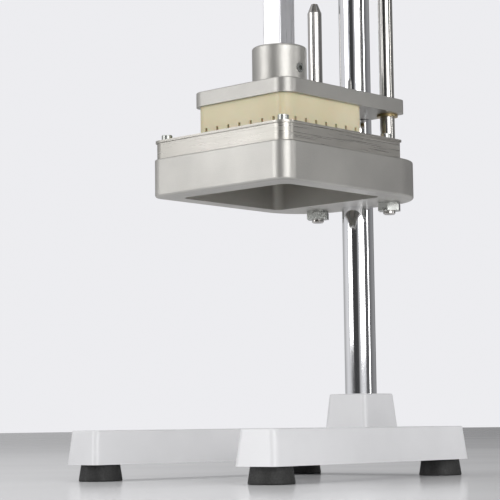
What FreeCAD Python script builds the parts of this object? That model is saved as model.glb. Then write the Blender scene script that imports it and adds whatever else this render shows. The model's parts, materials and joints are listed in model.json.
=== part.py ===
import FreeCAD, Part
import math, os

# Vertical vegetable dicer: a lever drives a square ram and a nylon pusher down through a fixed
# grid of blades held above an open base. Millimetres. X is left/right, -Y is the open front,
# Z is up. Every Y below is measured from the ram's axis; out() moves the finished pieces so the
# assembly's own origin is under the middle of its whole outline.

V = FreeCAD.Vector
os.makedirs("parts", exist_ok=True)

# ---- fits -------------------------------------------------------------------------------
RUN = 0.05            # radial clearance of a running or locating fit
SLIDE = 0.10          # clearance per side of the square ram in its liner
SIDE = 0.3            # side clearance between faces that slide past each other
THREAD = 0.05         # radial room kept between a screw and the hole it sits in

# ---- blade grid, which sets the size of everything round it --------------------------------
CELL = 12.0
N_CELL = 8
BLOCK_HALF = N_CELL * CELL / 2
FRAME_OPEN = BLOCK_HALF + 2.5
COVER_OPEN = FRAME_OPEN + 2.5
BLADE_END = FRAME_OPEN + 7.5
BLADE_T = 1.0
SLOT_PLAY = 0.1

# ---- plan sizes worked outward from the grid ----------------------------------------------
FRAME_X = FRAME_OPEN + 20.1
FRAME_F = -FRAME_OPEN - 23.9
FRAME_B = FRAME_OPEN + 14.5
FRAME_R = 10.0
HEAD_X = FRAME_X + 2.0
HEAD_F = FRAME_F - 2.2
HEAD_RF = 12.5
HEAD_RB = 44.0
HEAD_OPEN_X = FRAME_OPEN + 5.5
HEAD_OPEN_F = -FRAME_OPEN - 6.5
HEAD_OPEN_B = FRAME_OPEN + 7.0
COL_R = 13.0
COL_Y = FRAME_OPEN + 31.8 + COL_R
HEAD_B = COL_Y + 11.3
ROD_X = COL_R + 25.5
ROD_Y = COL_Y - 6.2

# ---- base -------------------------------------------------------------------------------
FOOT_H = 12.7
FOOT_R = 17.0
FOOT_TOP_R = 15.0
LEG_Z0 = FOOT_H
LEG_Z1 = LEG_Z0 + 26.1
LEG_L = 251.8
LEG_W = 37.7
LEG_SPLAY = 4.0       # degrees each leg turns outward toward the front
LEG_TAPER = 2.6       # how far each leg face leans in by the top
BASE_X = HEAD_X + 36.4   # outer front corner of a leg
LEG_BACK = COL_Y + 23.587
BASE_FRONT = LEG_BACK - LEG_L * math.cos(math.radians(LEG_SPLAY))
FOOT_FRONT = 19.9
FOOT_REAR = 14.6
CROSS_D = 50.0        # depth of the rear crossbar
BOSS_HALF = COL_R + 8.7      # square column boss at the leg top level
BOSS_TOP_HALF = COL_R + 6.5
BOSS_TOP = LEG_Z1 + 27.2
SHELL_T = 6.0         # wall left around the pockets cast into the underside
POCKET_H = 15.0
COL_Z0 = LEG_Z0 + 13.3
COL_BOLT_R = 5.0

# ---- cutting head -----------------------------------------------------------------------
HEAD_Z0 = 221.3
HEAD_Z1 = HEAD_Z0 + 30.2
CLAMP_X = COL_R + 14.5       # half width of the head's rear clamp cap
CLAMP_Z0 = HEAD_Z0 + 6.7
CLAMP_Z1 = CLAMP_Z0 + 18.0
CLAMP_D = 16.0
CLAMP_SCREW_X = COL_R + 7.6

# ---- blade frame and cover ----------------------------------------------------------------
FRAME_Z1 = HEAD_Z1 + 13.0
COVER_T = 1.8
COVER_OVER = 1.2
BLADE_Z0 = HEAD_Z1 + 2.0
BLADE_Z1 = FRAME_Z1 - 0.3
COVER_SCREW_X = FRAME_X - 8.6
COVER_SCREW_F = FRAME_F + 8.4
COVER_SCREW_B = FRAME_B - 8.0

# ---- guide rods -------------------------------------------------------------------------
ROD_R = 6.0
ROD_TOP = HEAD_Z1 + 149.3
ROD_TIP_H = 8.0
ROD_TIP_R = 2.8
STUD_R = ROD_R - 1.0
STUD_Z0 = HEAD_Z0 - 9.9
NUT_AF = 2 * STUD_R + 7.0
NUT_H = 5.5
WASHER_R = STUD_R + 4.0
WASHER_T = 1.5

# ---- pusher -----------------------------------------------------------------------------
BLOCK_Z0 = HEAD_Z1 + 4.5
BLOCK_NOTCH_Z = BLOCK_Z0 + 20.0
BLOCK_NOTCH_W = BLADE_T + 1.4
BLOCK_R = 10.0
BUSH_R = ROD_R + 1.4
BUSH_LIP_R = ROD_R + 2.6
BUSH_LIP = 2.0
PLATE_X = BLOCK_HALF + 3.2
PLATE_F = -BLOCK_HALF - 2.5
PLATE_B = ROD_Y + BUSH_R + 1.0
PLATE_Z0 = BLOCK_Z0 + 38.0
PLATE_Z1 = PLATE_Z0 + 11.8
PLATE_R = 12.0
PLATE_RB = 5.0
HUB_R = 22.0
HUB_TOP = PLATE_Z1 + 36.2
NOTCH_R = COL_R + 2.0        # clearance around the column

# ---- ram --------------------------------------------------------------------------------
RAM = 18.4
RAM_Z0 = PLATE_Z0 + 2.0
PIN_R = 6.0
SET_Z = PLATE_Z1 + 17.4

# ---- lever motion: the ram pin rides in a straight slot -------------------------------------
STROKE = 100.0
FULCRUM_D = COL_Y + 14.7     # fulcrum behind the ram
SWING_EVEN = 1.014566        # spreads the slot's small error evenly over the stroke
HALF_SWING = SWING_EVEN * math.degrees(math.atan(STROKE / 2 / FULCRUM_D))

# ---- crosshead, stacked upward from where the hub stops -------------------------------------
GUIDE_Z0 = HUB_TOP + STROKE + 4.0
GUIDE_Z1 = GUIDE_Z0 + 35.0
GUIDE_HALF = RAM / 2 + 11.8
FULCRUM_Z = GUIDE_Z1 + 83.0
PIN_Z = FULCRUM_Z - STROKE / 2
RAM_TOP = PIN_Z + 16.0
COL_TOP = FULCRUM_Z - 42.0
XH_Z0 = COL_TOP - 56.0
XH_R = COL_R + 10.0
LINER_T = 4.0
LINER_LIP = 2.5
WEB_X = 9.0
FORK_IN = RAM / 2 + 1.4
LUG_X = FORK_IN - 2 * SIDE
LUG_R = 14.0
XH_CLAMP_Z0 = XH_Z0 + 8.0
XH_CLAMP_Z1 = COL_TOP - 8.0

# ---- lever ------------------------------------------------------------------------------
FORK_T = 6.0
FORK_HALF = 15.0
FORK_L = FULCRUM_D + 112.0
SLOT_HALF = PIN_R + 1.0
SLOT_IN = FULCRUM_D - 2.0    # slot centre nearest the fulcrum
SLOT_OUT = FULCRUM_D + 13.5
HANDLE_R = FORK_IN - 2 * SIDE
HANDLE_IN = FULCRUM_D + 45.0
HANDLE_OUT = FULCRUM_D + 314.0
LEVER_BOLTS = (FULCRUM_D + 62.0, FULCRUM_D + 94.0)
BOLT_R = 4.0
GRIP_R = HANDLE_R + 4.5
GRIP_L = 118.0

PLUG_R = GRIP_R - 2.0
PLUG_T = 3.0
PLUG_ROUND = 2.4
CLAMP_HEAD_H = 6.0

COVER_X = FRAME_X + COVER_OVER
FORK_OUT = FORK_IN + FORK_T
# the outline's front is the rounded rim of the grip's plug, its back the clamp screw heads
SWING = math.radians(HALF_SWING)
TIP_Y = (FULCRUM_D - (HANDLE_OUT + PLUG_T - PLUG_ROUND) * math.cos(SWING)
         - (PLUG_R - PLUG_ROUND) * math.sin(SWING) - PLUG_ROUND)
BACK_Y = HEAD_B + CLAMP_D + CLAMP_HEAD_H
Y_SHIFT = -(TIP_Y + BACK_Y) / 2


def box(x0, x1, y0, y1, z0, z1):
    return Part.makeBox(x1 - x0, y1 - y0, z1 - z0, V(x0, y0, z0))


def rod(r, h, x, y, z):
    return Part.makeCylinder(r, h, V(x, y, z))


def along_x(r, x0, x1, y, z):
    return Part.makeCylinder(r, x1 - x0, V(x0, y, z), V(1, 0, 0))


def along_y(r, y0, y1, x, z):
    return Part.makeCylinder(r, y1 - y0, V(x, y0, z), V(0, 1, 0))


def wire(points):
    return Part.makePolygon([V(*p) for p in points] + [V(*points[0])])


def prism(points, direction):
    return Part.Face(wire(points)).extrude(V(*direction))


def loft(lower, upper):
    return Part.makeLoft([wire(lower), wire(upper)], True)


def fused(shapes):
    s = shapes[0].fuse(shapes[1:]) if len(shapes) > 1 else shapes[0]
    return s.removeSplitter()


def upright_edges(shape, test):
    """Edges parallel to Z whose middle passes the test on (x, y)."""
    found = []
    for e in shape.Edges:
        a, b = e.Vertexes[0].Point, e.Vertexes[-1].Point
        if abs(a.x - b.x) < 1e-6 and abs(a.y - b.y) < 1e-6 and abs(a.z - b.z) > 1e-3:
            if test(a.x, a.y):
                found.append(e)
    return found


def level_edges(shape, z, test):
    """Edges lying at one height whose centre passes the test on (x, y)."""
    found = []
    for e in shape.Edges:
        bb = e.BoundBox
        if abs(bb.ZMin - z) < 1e-4 and abs(bb.ZMax - z) < 1e-4:
            c = e.BoundBox.Center
            if test(c.x, c.y):
                found.append(e)
    return found


def hexagon(af, h, x, y, z):
    r = af / math.sqrt(3)
    pts = [(x + r * math.cos(math.radians(60 * i)), y + r * math.sin(math.radians(60 * i)), z)
           for i in range(6)]
    return prism(pts, (0, 0, h))


def cap_screw(r, head_r, head_h, length, socket_af):
    """Socket-head cap screw standing at the origin, shank down -Z, head from z=0 upward."""
    s = rod(head_r, head_h, 0, 0, 0)
    s = s.makeChamfer(0.4, level_edges(s, head_h, lambda x, y: True))
    s = s.fuse(rod(r, length, 0, 0, -length)).removeSplitter()
    key = socket_af / math.sqrt(3)
    pts = [(key * math.cos(math.radians(60 * i)), key * math.sin(math.radians(60 * i)),
            head_h - 0.6 * head_h) for i in range(6)]
    return s.cut(prism(pts, (0, 0, head_h)))


def place(shape, position, direction):
    """Copy of a shape made along +Z, turned so +Z points along direction."""
    s = shape.copy()
    s.Placement = FreeCAD.Placement(V(*position), FreeCAD.Rotation(V(0, 0, 1), V(*direction)))
    return s


def out(name, shapes):
    if not isinstance(shapes, list):
        shapes = [shapes]
    moved = []
    for s in shapes:
        for solid in s.Solids:
            m = solid.copy()
            m.translate(V(0, Y_SHIFT, 0))
            moved.append(m)
    shape = moved[0] if len(moved) == 1 else Part.makeCompound(moved)
    print("%-24s solids %2d valid %s volume %.0f" % (name, len(moved), shape.isValid(), shape.Volume))
    shape.exportStep("parts/%s.step" % name)


# =========================================================================================
# base: two splayed legs, a rear crossbar and a square boss for the column, one casting
# =========================================================================================
cos_s, sin_s = math.cos(math.radians(LEG_SPLAY)), math.sin(math.radians(LEG_SPLAY))


def leg_point(side, along, across, z):
    """Point on a leg: along from its front end, across inward from its outer face."""
    x = BASE_X - along * sin_s - across * cos_s
    y = BASE_FRONT + along * cos_s - across * sin_s
    return (side * x, y, z)


def leg_quad(side, a0, a1, c0, c1, z):
    return [leg_point(side, a0, c0, z), leg_point(side, a1, c0, z),
            leg_point(side, a1, c1, z), leg_point(side, a0, c1, z)]


def leg(side):
    t = LEG_TAPER
    body = loft(leg_quad(side, 0, LEG_L, 0, LEG_W, LEG_Z0),
                leg_quad(side, t, LEG_L - t, t, LEG_W - t, LEG_Z1))
    corners = [e for e in body.Edges if abs(e.BoundBox.ZMax - e.BoundBox.ZMin) > 5]
    body = body.makeFillet(5.0, corners)
    return body.makeFillet(1.5, level_edges(body, LEG_Z1, lambda x, y: True))


cross_back = BASE_FRONT + LEG_L * cos_s - 1.5
cross_front = cross_back - CROSS_D
cross = loft([(-84, cross_front, LEG_Z0), (84, cross_front, LEG_Z0),
              (84, cross_back, LEG_Z0), (-84, cross_back, LEG_Z0)],
             [(-84, cross_front + 3, LEG_Z1), (84, cross_front + 3, LEG_Z1),
              (84, cross_back - 3, LEG_Z1), (-84, cross_back - 3, LEG_Z1)])
b0, b1 = BOSS_HALF + 1.0, BOSS_TOP_HALF
boss = loft([(-b0, COL_Y - b0, 30), (b0, COL_Y - b0, 30), (b0, COL_Y + b0, 30), (-b0, COL_Y + b0, 30)],
            [(-b1, COL_Y - b1, BOSS_TOP), (b1, COL_Y - b1, BOSS_TOP),
             (b1, COL_Y + b1, BOSS_TOP), (-b1, COL_Y + b1, BOSS_TOP)])
boss = boss.makeFillet(4.0, [e for e in boss.Edges if e.BoundBox.ZMax - e.BoundBox.ZMin > 5])
boss = boss.makeFillet(1.5, level_edges(boss, BOSS_TOP, lambda x, y: True))
base = fused([leg(1), leg(-1), cross, boss])

cuts = []
foot_spots = []
for side in (1, -1):
    for a0, a1 in ((42.0, 122.0), (128.0, 196.0)):
        cuts.append(prism(leg_quad(side, a0, a1, SHELL_T, LEG_W - SHELL_T, LEG_Z0 - 1),
                          (0, 0, POCKET_H + 1)))
    for along in (FOOT_FRONT, LEG_L - FOOT_REAR):
        p = leg_point(side, along, LEG_W / 2, 0)
        foot_spots.append((p[0], p[1]))
        cuts.append(rod(3.0 + THREAD, 14.0, p[0], p[1], LEG_Z0))
for x0, x1 in ((-58.0, -20.0), (20.0, 58.0)):
    cuts.append(box(x0, x1, cross_front + SHELL_T + 2, cross_back - SHELL_T - 2,
                    LEG_Z0 - 1, LEG_Z0 + POCKET_H))
cuts.append(rod(COL_R + RUN, BOSS_TOP, 0, COL_Y, COL_Z0))
cuts.append(rod(COL_BOLT_R + THREAD, 20, 0, COL_Y, LEG_Z0 - 1))
cuts.append(rod(9.5, 7.0, 0, COL_Y, LEG_Z0 - 1))
cuts.append(along_y(3.0 + THREAD, COL_Y, COL_Y + 30, 0, 54))
base = base.cut(cuts).removeSplitter()
out("base_casting", base)

# rubber feet: a truncated cone with a recess for the screw that holds it
feet, foot_screws = [], []
for x, y in foot_spots:
    foot = Part.makeCone(FOOT_R, FOOT_TOP_R, FOOT_H, V(x, y, 0))
    foot = foot.makeFillet(1.0, level_edges(foot, 0, lambda a, b: True))
    feet.append(foot.cut([rod(6.0, 5.0, x, y, -0.5), rod(3.0 + THREAD, FOOT_H + 1, x, y, 0)]))
    screw = cap_screw(3.0, 5.0, 3.0, FOOT_H + 5.0, 4.0)
    foot_screws.append(place(screw, (x, y, 4.5), (0, 0, -1)))
for foot, name in zip(feet, ("foot_right_front", "foot_right_rear", "foot_left_front", "foot_left_rear")):
    out(name, foot)
out("foot_screws", foot_screws)

# =========================================================================================
# column with its bottom bolt, rear grub screw and top cap
# =========================================================================================
column = rod(COL_R, COL_TOP - COL_Z0, 0, COL_Y, COL_Z0)
column = column.cut([rod(COL_BOLT_R + THREAD, 26, 0, COL_Y, COL_Z0 - 1),
                     rod(3.0 + THREAD, 16, 0, COL_Y, COL_TOP - 15)])
out("column", column)
bolt = cap_screw(COL_BOLT_R, 8.0, 5.5, 28.0, 8.0)
out("column_bolt", place(bolt, (0, COL_Y, LEG_Z0 + 6.0), (0, 0, -1)))
grub = along_y(3.0, COL_Y + COL_R, COL_Y + COL_R + 6.5, 0, 54)
out("column_grub_screw", grub.cut(place(hexagon(3.0, 3.0, 0, 0, 0),
                                        (0, COL_Y + COL_R + 3.9, 54), (0, 1, 0))))
cap = rod(COL_R - 0.4, 4.0, 0, COL_Y, COL_TOP)
cap = cap.makeFillet(2.0, level_edges(cap, COL_TOP + 4.0, lambda a, b: True))
out("column_top_cap", cap.fuse(rod(3.0, 10.0, 0, COL_Y, COL_TOP - 10)).removeSplitter())

# =========================================================================================
# cutting head: a flat casting with a square opening, round-cornered at the back
# =========================================================================================
head = box(-HEAD_X, HEAD_X, HEAD_F, HEAD_B, HEAD_Z0, HEAD_Z1)
head = head.makeFillet(HEAD_RF, upright_edges(head, lambda x, y: y < 0))
head = head.makeFillet(HEAD_RB, upright_edges(head, lambda x, y: y > HEAD_B - 1 and abs(x) > HEAD_X - 1))
head = head.makeFillet(2.0, level_edges(head, HEAD_Z0, lambda x, y: True))
head = head.makeFillet(1.2, level_edges(head, HEAD_Z1, lambda x, y: True))
opening = box(-HEAD_OPEN_X, HEAD_OPEN_X, HEAD_OPEN_F, HEAD_OPEN_B, HEAD_Z0 - 1, HEAD_Z1 + 1)
opening = opening.makeFillet(8.0, upright_edges(opening, lambda x, y: True))
cuts = [opening, rod(COL_R + RUN, 60, 0, COL_Y, HEAD_Z0 - 5)]
clamp_z = (CLAMP_Z0 + CLAMP_Z1) / 2
for s in (1, -1):
    cuts.append(rod(STUD_R + THREAD, 60, s * ROD_X, ROD_Y, HEAD_Z0 - 5))
    cuts.append(along_y(3.0 + THREAD, HEAD_B - 22, HEAD_B + 1, s * CLAMP_SCREW_X, clamp_z))
    for y in (COVER_SCREW_F, COVER_SCREW_B):
        cuts.append(rod(2.5 + THREAD, 12, s * COVER_SCREW_X, y, HEAD_Z1 - 11))
head = head.cut(cuts)
out("cutting_head", head)

clamp = box(-CLAMP_X, CLAMP_X, HEAD_B + 0.6, HEAD_B + CLAMP_D, CLAMP_Z0, CLAMP_Z1)
clamp = clamp.makeFillet(6.0, upright_edges(clamp, lambda x, y: y > HEAD_B + 5))
clamp = clamp.cut([rod(COL_R + RUN, 60, 0, COL_Y, HEAD_Z0 - 5)]
                  + [along_y(3.0 + THREAD, HEAD_B - 5, HEAD_B + 40, s * CLAMP_SCREW_X, clamp_z)
                     for s in (1, -1)])
out("head_clamp_cap", clamp)
clamp_screw = cap_screw(3.0, 5.0, CLAMP_HEAD_H, CLAMP_D + 18.0, 5.0)
out("head_clamp_screws", [place(clamp_screw, (s * CLAMP_SCREW_X, HEAD_B + CLAMP_D, clamp_z), (0, 1, 0))
                          for s in (1, -1)])

# =========================================================================================
# blade frame, blades, cover plate
# =========================================================================================
lines = [CELL * (i - (N_CELL - 2) / 2.0) for i in range(N_CELL - 1)]
frame = box(-FRAME_X, FRAME_X, FRAME_F, FRAME_B, HEAD_Z1, FRAME_Z1)
frame = frame.makeFillet(FRAME_R, upright_edges(frame, lambda x, y: y < 0))
frame = frame.makeFillet(2.0, upright_edges(frame, lambda x, y: y > FRAME_B - 1))
half = BLADE_T / 2 + SLOT_PLAY
cuts = [box(-FRAME_OPEN, FRAME_OPEN, -FRAME_OPEN, FRAME_OPEN, HEAD_Z1 - 1, FRAME_Z1 + 1)]
for c in lines:
    cuts.append(box(c - half, c + half, -BLADE_END - SLOT_PLAY, BLADE_END + SLOT_PLAY,
                    BLADE_Z0 - SLOT_PLAY, FRAME_Z1 + 1))
    cuts.append(box(-BLADE_END - SLOT_PLAY, BLADE_END + SLOT_PLAY, c - half, c + half,
                    BLADE_Z0 - SLOT_PLAY, FRAME_Z1 + 1))
screw_spots = [(s * COVER_SCREW_X, y) for s in (1, -1) for y in (COVER_SCREW_F, COVER_SCREW_B)]
cuts += [rod(2.5 + THREAD, 40, x, y, HEAD_Z1 - 5) for x, y in screw_spots]
out("blade_frame", frame.cut(cuts))

# half-lapped blades: one set slotted from above, the other from below, sharp top edges
mid = (BLADE_Z0 + BLADE_Z1) / 2
t = BLADE_T / 2


def blade(c, lengthwise):
    e, zs = BLADE_END, BLADE_Z1 - 2.2
    profile = [(c - t, -e, BLADE_Z0), (c + t, -e, BLADE_Z0), (c + t, -e, zs),
               (c + 0.1, -e, BLADE_Z1), (c - 0.1, -e, BLADE_Z1), (c - t, -e, zs)]
    body = prism(profile, (0, 2 * e, 0))
    if not lengthwise:
        body.rotate(V(0, 0, 0), V(0, 0, 1), 90)
    slots = []
    for q in lines:
        z0, z1 = (mid - 0.05, BLADE_Z1 + 1) if lengthwise else (BLADE_Z0 - 1, mid + 0.05)
        if lengthwise:
            slots.append(box(c - 2, c + 2, q - half, q + half, z0, z1))
        else:
            slots.append(box(q - half, q + half, c - 2, c + 2, z0, z1))
    return body.cut(slots)


out("blades_lengthwise", [blade(c, True) for c in lines])
out("blades_crosswise", [blade(c, False) for c in lines])

cover = box(-COVER_X, COVER_X, FRAME_F - COVER_OVER, FRAME_B + COVER_OVER, FRAME_Z1, FRAME_Z1 + COVER_T)
cover = cover.makeFillet(FRAME_R + COVER_OVER, upright_edges(cover, lambda x, y: y < 0))
cover = cover.makeFillet(3.0, upright_edges(cover, lambda x, y: y > FRAME_B))
cover = cover.cut([box(-COVER_OPEN, COVER_OPEN, -COVER_OPEN, COVER_OPEN, 0, 400)]
                  + [rod(2.5 + THREAD, 20, x, y, FRAME_Z1 - 5) for x, y in screw_spots])
out("blade_cover_plate", cover)
cover_screw = cap_screw(2.5, 4.25, 5.0, FRAME_Z1 + COVER_T - HEAD_Z1 + 10.0, 4.0)
out("cover_plate_screws", [place(cover_screw, (x, y, FRAME_Z1 + COVER_T), (0, 0, 1))
                           for x, y in screw_spots])

# =========================================================================================
# guide rods standing on the head, clamped from beneath
# =========================================================================================
washers, nuts = [], []
for s, name in ((-1, "guide_rod_left"), (1, "guide_rod_right")):
    x = s * ROD_X
    g = fused([rod(ROD_R, ROD_TOP - ROD_TIP_H - HEAD_Z1, x, ROD_Y, HEAD_Z1),
               Part.makeCone(ROD_R, ROD_TIP_R, ROD_TIP_H, V(x, ROD_Y, ROD_TOP - ROD_TIP_H)),
               rod(STUD_R, HEAD_Z1 - STUD_Z0, x, ROD_Y, STUD_Z0)])
    g = g.makeChamfer(0.8, level_edges(g, STUD_Z0, lambda a, b: True))
    out(name, g)
    hole = rod(STUD_R + THREAD, 40, x, ROD_Y, STUD_Z0 - 2)
    washers.append(rod(WASHER_R, WASHER_T, x, ROD_Y, HEAD_Z0 - WASHER_T).cut(hole))
    nuts.append(hexagon(NUT_AF, NUT_H, x, ROD_Y, HEAD_Z0 - WASHER_T - NUT_H).cut(hole))
out("rod_washers", washers)
out("rod_nuts", nuts)

# =========================================================================================
# pusher: plate with hub, notched nylon block, guide bushes, set screw
# =========================================================================================
plate = box(-PLATE_X, PLATE_X, PLATE_F, PLATE_B, PLATE_Z0, PLATE_Z1)
plate = plate.makeFillet(PLATE_R, upright_edges(plate, lambda x, y: y < 0))
plate = plate.makeFillet(PLATE_RB, upright_edges(plate, lambda x, y: y > 0))
plate = plate.makeFillet(1.0, level_edges(plate, PLATE_Z1, lambda x, y: True))
hub = rod(HUB_R, HUB_TOP - PLATE_Z1 + 4, 0, 0, PLATE_Z1 - 4)
hub = hub.makeFillet(2.0, level_edges(hub, HUB_TOP, lambda x, y: True))
plate = fused([plate, hub])
plate = plate.makeFillet(3.0, [e for e in level_edges(plate, PLATE_Z1, lambda x, y: True)
                               if e.Curve.TypeId == "Part::GeomCircle" and abs(e.Curve.Radius - HUB_R) < 0.1])
r = RAM / 2 + RUN
block_screw_spots = [(s * 32.0, q * 32.0) for s in (1, -1) for q in (1, -1)]
cuts = [box(-r, r, -r, r, RAM_Z0, HUB_TOP + 1),
        rod(NOTCH_R, 60, 0, COL_Y, PLATE_Z0 - 5), box(-NOTCH_R, NOTCH_R, COL_Y, COL_Y + 20, 280, 320),
        along_x(4.0 + THREAD, RAM / 2, HUB_R + 2, 0, SET_Z)]
cuts += [rod(BUSH_R + THREAD, 60, s * ROD_X, ROD_Y, PLATE_Z0 - 5) for s in (1, -1)]
cuts += [rod(2.5 + THREAD, 60, x, y, PLATE_Z0 - 5) for x, y in block_screw_spots]
plate = plate.cut(cuts)
out("pusher_plate", plate)

block = box(-BLOCK_HALF, BLOCK_HALF, -BLOCK_HALF, BLOCK_HALF, BLOCK_Z0, PLATE_Z0)
block = block.makeFillet(BLOCK_R, upright_edges(block, lambda x, y: True))
w = BLOCK_NOTCH_W / 2
cuts = []
for c in lines:
    cuts.append(box(c - w, c + w, -60, 60, BLOCK_Z0 - 1, BLOCK_NOTCH_Z))
    cuts.append(box(-60, 60, c - w, c + w, BLOCK_Z0 - 1, BLOCK_NOTCH_Z))
cuts += [rod(2.5 + THREAD, 13.0, x, y, PLATE_Z0 - 12.0) for x, y in block_screw_spots]
out("pusher_block", block.cut(cuts))
block_screw = cap_screw(2.5, 4.25, 3.2, PLATE_Z1 - PLATE_Z0 + 11.0, 3.0)
out("pusher_block_screws", [place(block_screw, (x, y, PLATE_Z1), (0, 0, 1)) for x, y in block_screw_spots])

for s, name in ((-1, "guide_bush_left"), (1, "guide_bush_right")):
    x = s * ROD_X
    b = fused([rod(BUSH_R, PLATE_Z1 - PLATE_Z0 + BUSH_LIP, x, ROD_Y, PLATE_Z0 - BUSH_LIP),
               rod(BUSH_LIP_R, BUSH_LIP, x, ROD_Y, PLATE_Z0 - BUSH_LIP)])
    out(name, b.cut(rod(ROD_R + RUN, 60, x, ROD_Y, 270)))
set_screw = along_x(4.0, RAM / 2, HUB_R + 0.2, 0, SET_Z)
out("ram_set_screw", set_screw.cut(place(hexagon(4.0, 6.0, 0, 0, 0), (HUB_R - 4.0, 0, SET_Z), (1, 0, 0))))

ram = box(-RAM / 2, RAM / 2, -RAM / 2, RAM / 2, RAM_Z0, RAM_TOP)
ram = ram.makeFillet(1.2, upright_edges(ram, lambda x, y: True))
ram = ram.makeChamfer(0.7, level_edges(ram, RAM_TOP, lambda x, y: True))
out("ram_bar", ram.cut(along_x(PIN_R + THREAD, -30, 30, 0, PIN_Z)))

pin_end = FORK_OUT + 4.2
pin = along_x(PIN_R, -pin_end, pin_end, 0, PIN_Z)
pin = pin.makeChamfer(0.8, [e for e in pin.Edges if e.Curve.TypeId == "Part::GeomCircle"])
grooves = [along_x(PIN_R + 1, s, s + 1.1, 0, PIN_Z).cut(along_x(PIN_R - 0.6, s, s + 1.1, 0, PIN_Z))
           for s in (-FORK_OUT - 2.9, FORK_OUT + 1.8)]
out("ram_cross_pin", pin.cut(grooves))


def ring(x0, thick, r_in, r_out, y, z):
    return along_x(r_out, x0, x0 + thick, y, z).cut(along_x(r_in, x0 - 1, x0 + thick + 1, y, z))


out("cross_pin_washers", [ring(x0, 1.4, PIN_R + RUN, 9.5, 0, PIN_Z)
                          for x0 in (-FORK_OUT - SIDE - 1.4, FORK_OUT + SIDE)])


def clip(x0, y, z):
    """Open retaining ring snapped into a pin groove."""
    c = ring(x0, 1.0, PIN_R - 0.55, PIN_R + 2.2, y, z)
    return c.cut(box(x0 - 1, x0 + 2, y - 2.2, y + 2.2, z + 1, z + 20))


out("cross_pin_clips", [clip(x0, 0, PIN_Z) for x0 in (-FORK_OUT - 2.85, FORK_OUT + 1.85)])

# =========================================================================================
# crosshead: column hub, forward web with the square ram guide, rear lug for the fulcrum
# =========================================================================================
xh_hub = rod(XH_R, COL_TOP - XH_Z0, 0, COL_Y, XH_Z0)
guide = box(-GUIDE_HALF, GUIDE_HALF, -GUIDE_HALF, GUIDE_HALF, GUIDE_Z0, GUIDE_Z1)
guide = guide.makeFillet(5.0, upright_edges(guide, lambda x, y: True))
web = prism([(-WEB_X, 10, GUIDE_Z0), (-WEB_X, COL_Y, GUIDE_Z0 + 22), (-WEB_X, COL_Y, COL_TOP - 4),
             (-WEB_X, 66, COL_TOP - 4), (-WEB_X, 20, GUIDE_Z1)], (2 * WEB_X, 0, 0))
flange = prism([(-15, 10, GUIDE_Z0), (15, 10, GUIDE_Z0), (15, 88, GUIDE_Z0), (-15, 88, GUIDE_Z0)], (0, 0, 7))
flange.rotate(V(0, 10, GUIDE_Z0), V(1, 0, 0), math.degrees(math.atan2(22, COL_Y - 10)))
ear = prism([(-LUG_X, COL_Y + 14, XH_Z0 + 4), (-LUG_X, COL_Y + 30, XH_Z0 + 14),
             (-LUG_X, FULCRUM_D + LUG_R, FULCRUM_Z), (-LUG_X, FULCRUM_D - LUG_R, FULCRUM_Z),
             (-LUG_X, FULCRUM_D - LUG_R + 1.5, COL_TOP + 12), (-LUG_X, COL_Y + 14.2, COL_TOP - 1)],
            (2 * LUG_X, 0, 0))
ear = ear.fuse(along_x(LUG_R, -LUG_X, LUG_X, FULCRUM_D, FULCRUM_Z))
xh = fused([xh_hub, guide, web, flange, ear])
lin = RAM / 2 + SLIDE + LINER_T
xh_mid = (XH_CLAMP_Z0 + XH_CLAMP_Z1) / 2
cuts = [rod(COL_R + RUN, 120, 0, COL_Y, 440),
        box(-lin - 0.05, lin + 0.05, -lin - 0.05, lin + 0.05, GUIDE_Z0 - 1, GUIDE_Z1 + 1),
        along_x(6.0 + 1.5 + THREAD, -30, 30, FULCRUM_D, FULCRUM_Z)]
cuts += [along_x(3.0 + THREAD, COL_R - 2, XH_R + 3, COL_Y, z) for z in (XH_CLAMP_Z0 + 4, XH_CLAMP_Z1 - 8)]
xh = xh.cut(cuts)
out("crosshead", xh)
xh_grub = along_x(3.0, COL_R, XH_R + 0.1, COL_Y, 0)
xh_grub = xh_grub.cut(place(hexagon(3.0, 4.0, 0, 0, 0), (XH_R - 3.0, COL_Y, 0), (1, 0, 0)))
grubs = []
for z in (XH_CLAMP_Z0 + 4, XH_CLAMP_Z1 - 8):
    g = xh_grub.copy()
    g.translate(V(0, 0, z))
    grubs.append(g)
out("crosshead_grub_screws", grubs)

liner = box(-lin, lin, -lin, lin, GUIDE_Z0 - LINER_LIP, GUIDE_Z1 + LINER_LIP)
lips = [box(-lin - 2.5, lin + 2.5, -lin - 2.5, lin + 2.5, z0, z0 + LINER_LIP)
        for z0 in (GUIDE_Z0 - LINER_LIP, GUIDE_Z1)]
q = RAM / 2 + SLIDE
hollow = box(-q, q, -q, q, 400, 520)
lower = fused([liner.common(box(-40, 40, -40, 40, 400, (GUIDE_Z0 + GUIDE_Z1) / 2)), lips[0]]).cut(hollow)
upper = fused([liner.common(box(-40, 40, -40, 40, (GUIDE_Z0 + GUIDE_Z1) / 2, 520)), lips[1]]).cut(hollow)
out("ram_liner_lower", lower)
out("ram_liner_upper", upper)

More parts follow.
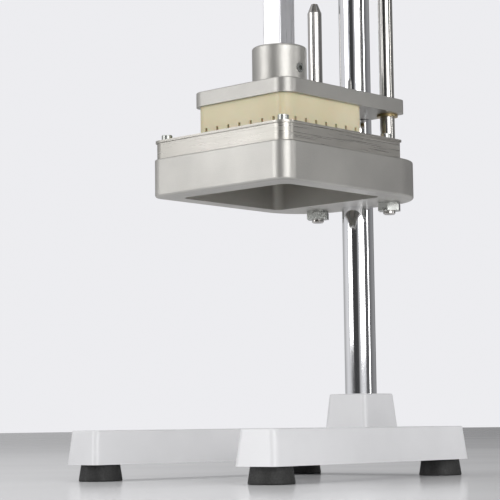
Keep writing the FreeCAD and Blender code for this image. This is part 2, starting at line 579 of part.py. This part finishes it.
# =========================================================================================
# fulcrum pin, bush and clips
# =========================================================================================
bush = along_x(7.5, -LUG_X, LUG_X, FULCRUM_D, FULCRUM_Z)
out("fulcrum_bush", bush.cut(along_x(6.0 + RUN, -30, 30, FULCRUM_D, FULCRUM_Z)))
fp = along_x(6.0, -pin_end, pin_end, FULCRUM_D, FULCRUM_Z)
fp = fp.makeChamfer(0.8, [e for e in fp.Edges if e.Curve.TypeId == "Part::GeomCircle"])
grooves = [along_x(8, s, s + 1.1, FULCRUM_D, FULCRUM_Z).cut(
    along_x(5.4, s, s + 1.1, FULCRUM_D, FULCRUM_Z)) for s in (-FORK_OUT - 1.7, FORK_OUT + 0.6)]
out("fulcrum_pin", fp.cut(grooves))
out("fulcrum_clips", [clip(x0, FULCRUM_D, FULCRUM_Z) for x0 in (-FORK_OUT - 1.65, FORK_OUT + 0.65)])

# =========================================================================================
# lever, modelled level along -Y from the fulcrum, then turned down to the pressed position
# =========================================================================================


def lay(shape):
    """Turn a lever piece modelled level so it lies at the pressed end of the swing."""
    s = shape.copy()
    s.rotate(V(0, FULCRUM_D, FULCRUM_Z), V(1, 0, 0), HALF_SWING)
    return s


def station(d):
    return FULCRUM_D - d


fork_l = prism([(-FORK_OUT, station(0), FULCRUM_Z - FORK_HALF), (-FORK_OUT, station(0), FULCRUM_Z + FORK_HALF),
                (-FORK_OUT, station(FORK_L), FULCRUM_Z + FORK_HALF - 1.5),
                (-FORK_OUT, station(FORK_L), FULCRUM_Z - FORK_HALF + 1.5)], (FORK_T, 0, 0))
tip_edges = [e for e in fork_l.Edges if abs(e.BoundBox.XMax - e.BoundBox.XMin) > 1
             and e.BoundBox.YMin < station(FORK_L) + 1]
fork_l = fork_l.makeFillet(9.0, tip_edges)
fork_l = fork_l.fuse(along_x(FORK_HALF, -FORK_OUT, -FORK_IN, FULCRUM_D, FULCRUM_Z)).removeSplitter()
slot = box(-30, 30, station(SLOT_OUT), station(SLOT_IN), FULCRUM_Z - SLOT_HALF, FULCRUM_Z + SLOT_HALF)
slot = fused([slot] + [along_x(SLOT_HALF, -30, 30, station(d), FULCRUM_Z) for d in (SLOT_IN, SLOT_OUT)])
cuts = [slot, along_x(6.0 + RUN, -30, 30, FULCRUM_D, FULCRUM_Z)]
cuts += [along_x(BOLT_R + THREAD, -30, 30, station(d), FULCRUM_Z) for d in LEVER_BOLTS]
fork_l = fork_l.cut(cuts)
fork_r = fork_l.mirror(V(0, 0, 0), V(1, 0, 0))
out("fork_plate_left", lay(fork_l))
out("fork_plate_right", lay(fork_r))

handle = along_y(HANDLE_R, station(HANDLE_OUT), station(HANDLE_IN), 0, FULCRUM_Z)
handle = handle.makeChamfer(1.2, [e for e in handle.Edges if e.Curve.TypeId == "Part::GeomCircle"
                                  and e.BoundBox.YMin > station(HANDLE_IN) - 1])
handle = handle.cut([along_x(BOLT_R + THREAD, -30, 30, station(d), FULCRUM_Z) for d in LEVER_BOLTS]
                    + [along_y(6.0, station(HANDLE_OUT) - 1, station(HANDLE_IN) + 1 - 200, 0, FULCRUM_Z)])
out("handle_bar", lay(handle))

bolts, bolt_nuts = [], []
for d in LEVER_BOLTS:
    b = cap_screw(BOLT_R, 6.5, 8.0, 2 * FORK_OUT + 10.5, 6.0)
    bolts.append(lay(place(b, (FORK_OUT, station(d), FULCRUM_Z), (1, 0, 0))))
    n = hexagon(13.0, 6.5, 0, 0, 0).cut(rod(BOLT_R + THREAD, 20, 0, 0, -5))
    bolt_nuts.append(lay(place(n, (-FORK_OUT - 6.5, station(d), FULCRUM_Z), (1, 0, 0))))
out("lever_bolts", bolts)
out("lever_nuts", bolt_nuts)

# grip: turned barrel with finger grooves, closed by a domed plug
y_end = station(HANDLE_OUT)
profile = [(HANDLE_R + RUN, y_end), (GRIP_R - 1.5, y_end)]
steps = 24
for i in range(steps + 1):
    u = i / float(steps)
    swell = 1.2 * math.sin(math.pi * u) - 0.7 * (1 - math.cos(8 * math.pi * u)) / 2
    profile.append((GRIP_R + swell, y_end + 2.0 + u * (GRIP_L - 5.0)))
profile += [(GRIP_R - 1.0, y_end + GRIP_L - 1.0), (GRIP_R - 2.0, y_end + GRIP_L),
            (HANDLE_R + RUN, y_end + GRIP_L)]
face = Part.Face(wire([(px, py, FULCRUM_Z) for px, py in profile]))
grip = face.revolve(V(0, 0, FULCRUM_Z), V(0, 1, 0), 360)
out("handle_grip", lay(grip))
plug = fused([along_y(6.0 - RUN, y_end, y_end + 12.0, 0, FULCRUM_Z),
              along_y(PLUG_R, y_end - PLUG_T, y_end, 0, FULCRUM_Z)])
plug = plug.makeFillet(PLUG_ROUND, [e for e in plug.Edges if e.BoundBox.YMax < y_end - PLUG_T + 0.1])
out("handle_end_plug", lay(plug))
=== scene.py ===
# %% [markdown]
# # Vertical vegetable dicer
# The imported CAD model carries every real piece, and no piece is added or replaced here. This
# notebook gives each piece its finish, then sets the table, the light and the camera.
# Everything is in metres: X is left/right, -Y is the open front, Z is up.

# %% Load the frame
import json
import math
import bpy
from mathutils import Matrix, Vector

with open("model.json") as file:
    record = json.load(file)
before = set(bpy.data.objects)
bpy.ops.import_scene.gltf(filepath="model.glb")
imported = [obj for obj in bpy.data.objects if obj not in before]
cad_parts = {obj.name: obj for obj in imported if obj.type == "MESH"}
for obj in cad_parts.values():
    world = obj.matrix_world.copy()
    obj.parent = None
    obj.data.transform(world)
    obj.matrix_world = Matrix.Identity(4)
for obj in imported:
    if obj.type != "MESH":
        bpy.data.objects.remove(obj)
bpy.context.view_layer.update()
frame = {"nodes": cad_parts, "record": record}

# %% [markdown]
# ## Helpers for procedural finishes
# A finish is a Principled shader whose colour, roughness and relief follow noise in Object
# coordinates. An image texture would need a UV map on every CAD mesh, while noise in Object
# coordinates needs none and stays fixed to the piece when the piece moves.

# %% Node helpers
NOISE_LOW, NOISE_HIGH = .3, .7      # nearly all of a noise texture's values lie between these


def new_material(name):
    mat = bpy.data.materials.new(name)
    mat.use_nodes = True
    tree = mat.node_tree
    shader = tree.nodes["Principled BSDF"]
    coords = tree.nodes.new("ShaderNodeTexCoord").outputs["Object"]
    return mat, tree, shader, coords


def noise(tree, coords, scale, stretch=(1, 1, 1), detail=4.0):
    """Noise in Object space; a stretch above 1 packs the pattern tighter along that axis."""
    mapping = tree.nodes.new("ShaderNodeMapping")
    mapping.inputs["Scale"].default_value = stretch
    tree.links.new(coords, mapping.inputs["Vector"])
    texture = tree.nodes.new("ShaderNodeTexNoise")
    texture.inputs["Scale"].default_value = scale
    texture.inputs["Detail"].default_value = detail
    tree.links.new(mapping.outputs["Vector"], texture.inputs["Vector"])
    return texture.outputs["Fac"]


def spread(tree, value, low, high):
    """Stretches the middle of a noise over low..high."""
    node = tree.nodes.new("ShaderNodeMapRange")
    node.inputs["From Min"].default_value = NOISE_LOW
    node.inputs["From Max"].default_value = NOISE_HIGH
    node.inputs["To Min"].default_value = low
    node.inputs["To Max"].default_value = high
    tree.links.new(value, node.inputs["Value"])
    return node.outputs["Result"]


def tint(tree, value, dark, light):
    """Fades between two colours as a noise goes from its low to its high values."""
    ramp = tree.nodes.new("ShaderNodeValToRGB")
    low, high = ramp.color_ramp.elements
    low.position, high.position = NOISE_LOW, NOISE_HIGH
    low.color, high.color = (*dark, 1), (*light, 1)
    tree.links.new(value, ramp.inputs["Fac"])
    return ramp.outputs["Color"]


def bump(tree, shader, value, strength, distance):
    node = tree.nodes.new("ShaderNodeBump")
    node.inputs["Strength"].default_value = strength
    node.inputs["Distance"].default_value = distance
    tree.links.new(value, node.inputs["Height"])
    tree.links.new(node.outputs["Normal"], shader.inputs["Normal"])


CLOUD_SCALE = 14.0                  # slow change of tone across a piece
CLOUD_DETAIL = GRAIN_DETAIL = 3.0
finishes = {}                       # the record's slot names and their materials


def finish(name, dark, light, metallic, rough, grain, stretch=(1, 1, 1), relief=(.2, .0002),
           **constants):
    """A finish in one call: cloudy colour, grainy roughness and a fine relief.

    rough is the range of roughness, grain the scale of the fine noise, and relief the bump's
    strength and depth. Other names are Principled inputs that stay one value.
    """
    mat, tree, shader, coords = new_material(name)
    clouds = noise(tree, coords, CLOUD_SCALE, detail=CLOUD_DETAIL)
    fine = noise(tree, coords, grain, stretch, GRAIN_DETAIL)
    tree.links.new(tint(tree, clouds, dark, light), shader.inputs["Base Color"])
    tree.links.new(spread(tree, fine, *rough), shader.inputs["Roughness"])
    shader.inputs["Metallic"].default_value = metallic
    for socket, value in constants.items():
        shader.inputs[socket.replace("_", " ")].default_value = value
    bump(tree, shader, fine, *relief)
    finishes[name] = mat
    print("made", name)


# %% [markdown]
# ## Painted castings
# The base and the lever's fork plates are painted pale grey. A thin clear coat over a slightly
# rough body gives the soft shine of baked paint, and a fine grain stands for its orange peel.

# %% Paint
PAINT = (.70, .70, .71), (.78, .78, .79)
PAINT_GRAIN = 500
PAINT_COAT = {"Coat_Weight": .25, "Coat_Roughness": .2}
finish("base_paint", *PAINT, 0.0, (.30, .42), PAINT_GRAIN, relief=(.25, .0003), **PAINT_COAT)
finish("lever_paint", *PAINT, 0.0, (.28, .40), PAINT_GRAIN, relief=(.2, .0002), **PAINT_COAT)

# %% [markdown]
# ## Cast and brushed metal
# The head, the pusher plate and the crosshead are bare cast aluminium: not quite fully metallic,
# with a sparkling grain that is much finer than the piece. Brushed and drawn pieces instead get
# a noise squeezed along one axis, so it turns into scratches. LEVEL scratches run round a piece
# at one height, as a belt or a lathe leaves them, and ALONG_Z streaks run with an extruded bar.

# %% Aluminium and steel
ALONG_Z = (60, 60, 1)
LEVEL = (1, 1, 60)
finish("head_cast_aluminium", (.40, .39, .37), (.52, .51, .48), .9, (.34, .52), 1400,
       relief=(.35, .0003))
finish("brushed_frame_metal", (.36, .35, .32), (.47, .45, .42), .95, (.22, .45), 16,
       stretch=LEVEL, relief=(.15, .0002), Anisotropic=.5)
finish("ram_aluminium", (.62, .62, .64), (.74, .74, .76), .9, (.25, .42), 18,
       stretch=ALONG_Z, relief=(.12, .0001))
finish("blade_steel", (.62, .63, .64), (.75, .76, .77), 1.0, (.12, .28), 20,
       stretch=LEVEL, relief=(.08, .0001))
finish("rod_steel", (.45, .44, .42), (.60, .58, .56), 1.0, (.10, .22), 20,
       stretch=LEVEL, relief=(.06, .0001))
finish("fastener_steel", (.36, .37, .35), (.52, .53, .51), 1.0, (.22, .40), 300,
       relief=(.12, .0001))
finish("bush_bronze", (.30, .23, .12), (.45, .36, .20), 1.0, (.25, .4), 200,
       relief=(.1, .0001))

# %% [markdown]
# ## Chrome
# Chrome is almost a mirror. A little uneven roughness keeps it from looking like glass, and its
# look comes from what it mirrors, so the room below matters more than this shader.

# %% Chrome
CHROME = (.80, .81, .83), (.90, .90, .91)
CHROME_GRAIN = 40
CHROME_RELIEF = .02, .0001
finish("column_chrome", *CHROME, 1.0, (.03, .08), CHROME_GRAIN, relief=CHROME_RELIEF)
finish("handle_chrome", *CHROME, 1.0, (.04, .09), CHROME_GRAIN, relief=CHROME_RELIEF)

# %% [markdown]
# ## Rubber and plastic
# The pusher block is cream nylon, which lets light a few millimetres in, so it has some
# subsurface scattering. Rubber and black plastic are near black and differ in how rough they are.

# %% Moulded materials
finish("pusher_nylon", (.66, .59, .38), (.76, .69, .49), 0.0, (.38, .52), 220,
       relief=(.15, .0002), Subsurface_Weight=.25, Subsurface_Scale=.004)
finish("foot_rubber", (.010, .010, .010), (.022, .022, .021), 0.0, (.5, .75), 700,
       relief=(.3, .0003))
finish("grip_rubber", (.010, .010, .011), (.024, .024, .025), 0.0, (.45, .65), 900,
       relief=(.4, .0003))
finish("black_plastic", (.012, .012, .013), (.025, .025, .026), 0.0, (.3, .45), 600,
       relief=(.2, .0002))

# %% [markdown]
# ## Dress the nodes
# The record says which slot each node belongs to, so the finish is looked up there. That keeps
# one list of slots for the whole object.

# %% Give every node its finish
for part in frame["record"]["subparts"]:
    mesh = frame["nodes"][part["node"]].data
    mesh.materials.clear()
    mesh.materials.append(finishes[part["material_slot"]])

# %% [markdown]
# ## Stage
# A pale glossy table top runs far back, under an even pale background. The camera sees that
# background, and everything else sees a room with upright bright and dark bands, because
# polished metal needs something dark to mirror.

# %% Table
TABLE_SIZE = 30
TABLE_COLOUR = (.93, .93, .94, 1)
TABLE_ROUGHNESS = .10, .18

bpy.ops.mesh.primitive_plane_add(size=1, location=(0, 0, 0))
table = bpy.context.object
table.name = "table"
table.scale = (TABLE_SIZE, TABLE_SIZE, 1)
table_top, tree, shader, coords = new_material("table_top")
shader.inputs["Base Color"].default_value = TABLE_COLOUR
tree.links.new(spread(tree, noise(tree, coords, 30), *TABLE_ROUGHNESS), shader.inputs["Roughness"])
table.data.materials.append(table_top)
print("table is", TABLE_SIZE, "m wide")

# %% [markdown]
# The room is a colour ramp over the bearing of each ray, so its bands are upright all the way
# up. Background nodes cost nothing to light with, while real cards would show in the table.

# %% Room
BACKGROUND = (.845, .845, .87)
BLUER = 1.02                        # how much stronger blue is in the room's greys
# bearing round the room in degrees from +X, and how bright the room is there
STREAKS = ((-180, .55), (-150, .75), (-128, .62), (-108, .16), (-88, .05), (-62, .06), (-50, .55),
           (-30, .75), (-16, .70), (-2, .10), (30, .16), (62, .24), (88, .32), (112, .10), (140, .45))


def room_streaks(tree):
    direction = tree.nodes.new("ShaderNodeTexCoord").outputs["Generated"]
    parts = tree.nodes.new("ShaderNodeSeparateXYZ")
    tree.links.new(direction, parts.inputs["Vector"])
    bearing = tree.nodes.new("ShaderNodeMath")
    bearing.operation = "ARCTAN2"
    tree.links.new(parts.outputs["Y"], bearing.inputs[0])
    tree.links.new(parts.outputs["X"], bearing.inputs[1])
    along = tree.nodes.new("ShaderNodeMapRange")
    along.inputs["From Min"].default_value = -math.pi
    along.inputs["From Max"].default_value = math.pi
    tree.links.new(bearing.outputs["Value"], along.inputs["Value"])
    ramp = tree.nodes.new("ShaderNodeValToRGB")
    stops = ramp.color_ramp.elements
    while len(stops) < len(STREAKS):
        stops.new(.5)
    for stop, (degrees, level) in zip(stops, STREAKS):
        stop.position = (degrees + 180) / 360
        stop.color = (level, level, level * BLUER, 1)
    tree.links.new(along.outputs["Result"], ramp.inputs["Fac"])
    return ramp.outputs["Color"]


world = bpy.data.worlds.new("room")
bpy.context.scene.world = world
world.use_nodes = True
tree = world.node_tree
room = tree.nodes["Background"]
tree.links.new(room_streaks(tree), room.inputs["Color"])
seen = tree.nodes.new("ShaderNodeBackground")
seen.inputs["Color"].default_value = (*BACKGROUND, 1)
mix = tree.nodes.new("ShaderNodeMixShader")
ray = tree.nodes.new("ShaderNodeLightPath")
tree.links.new(ray.outputs["Is Camera Ray"], mix.inputs["Fac"])
tree.links.new(room.outputs["Background"], mix.inputs[1])
tree.links.new(seen.outputs["Background"], mix.inputs[2])
tree.links.new(mix.outputs["Shader"], tree.nodes["World Output"].inputs["Surface"])
print("room has", len(STREAKS), "bands")

# %% [markdown]
# ## Light
# One broad soft box stands at the front left, so the front faces are bright and the right
# faces fall into shade. A narrow one at the back right draws the edges of the round parts, and
# one overhead lights the tops. The fill at the right brightens paint and nylon only: its
# highlights are turned off, so the right faces of the metal stay dark.

# %% Soft boxes
MIDDLE = (0, 0, .25)


def soft_box(name, location, size, power, highlights=1.0):
    light = bpy.data.lights.new(name, "AREA")
    light.shape = "RECTANGLE"
    light.size, light.size_y = size
    light.energy = power
    light.specular_factor = highlights
    obj = bpy.data.objects.new(name, light)
    obj.location = location
    obj.rotation_euler = (Vector(MIDDLE) - Vector(location)).to_track_quat("-Z", "Y").to_euler()
    bpy.context.scene.collection.objects.link(obj)
    print(name, "at", location, "gives", power, "W")


soft_box("key", (-.9, -1.9, .9), (1.2, 1.4), 18)
soft_box("rim", (1.9, 1.0, .7), (.25, 1.6), 6)
soft_box("top", (-.2, .2, 2.2), (1.6, 1.6), 16)
soft_box("fill", (2.2, -.9, .8), (1.6, 1.2), 24, highlights=0)

# %% [markdown]
# ## Camera
# The view is a long lens low at the front right, level with the top of the base and tipped
# slightly up, so the handle above runs out of the picture.

# %% Place the camera
CAMERA_AT = (.8903, -.9183, .0403)
YAW, PITCH, ROLL = .749, .104, -.0124       # radians: turned left, tipped up, leaning
FOCAL, SENSOR = 121.8, 36                   # millimetres

ahead = Vector((-math.sin(YAW) * math.cos(PITCH), math.cos(YAW) * math.cos(PITCH), math.sin(PITCH)))
level = Vector((math.cos(YAW), math.sin(YAW), 0))
upright = level.cross(ahead)
across = math.cos(ROLL) * level + math.sin(ROLL) * upright
up = -math.sin(ROLL) * level + math.cos(ROLL) * upright
lens = bpy.data.cameras.new("camera")
lens.lens = FOCAL
lens.sensor_width = SENSOR
camera = bpy.data.objects.new("camera", lens)
bpy.context.scene.collection.objects.link(camera)
camera.matrix_world = Matrix.Translation(CAMERA_AT) @ Matrix((across, up, -ahead)).transposed().to_4x4()
bpy.context.scene.camera = camera
bpy.context.scene.view_settings.view_transform = "Standard"
print("camera is", round(Vector(CAMERA_AT).length, 3), "m from the origin")
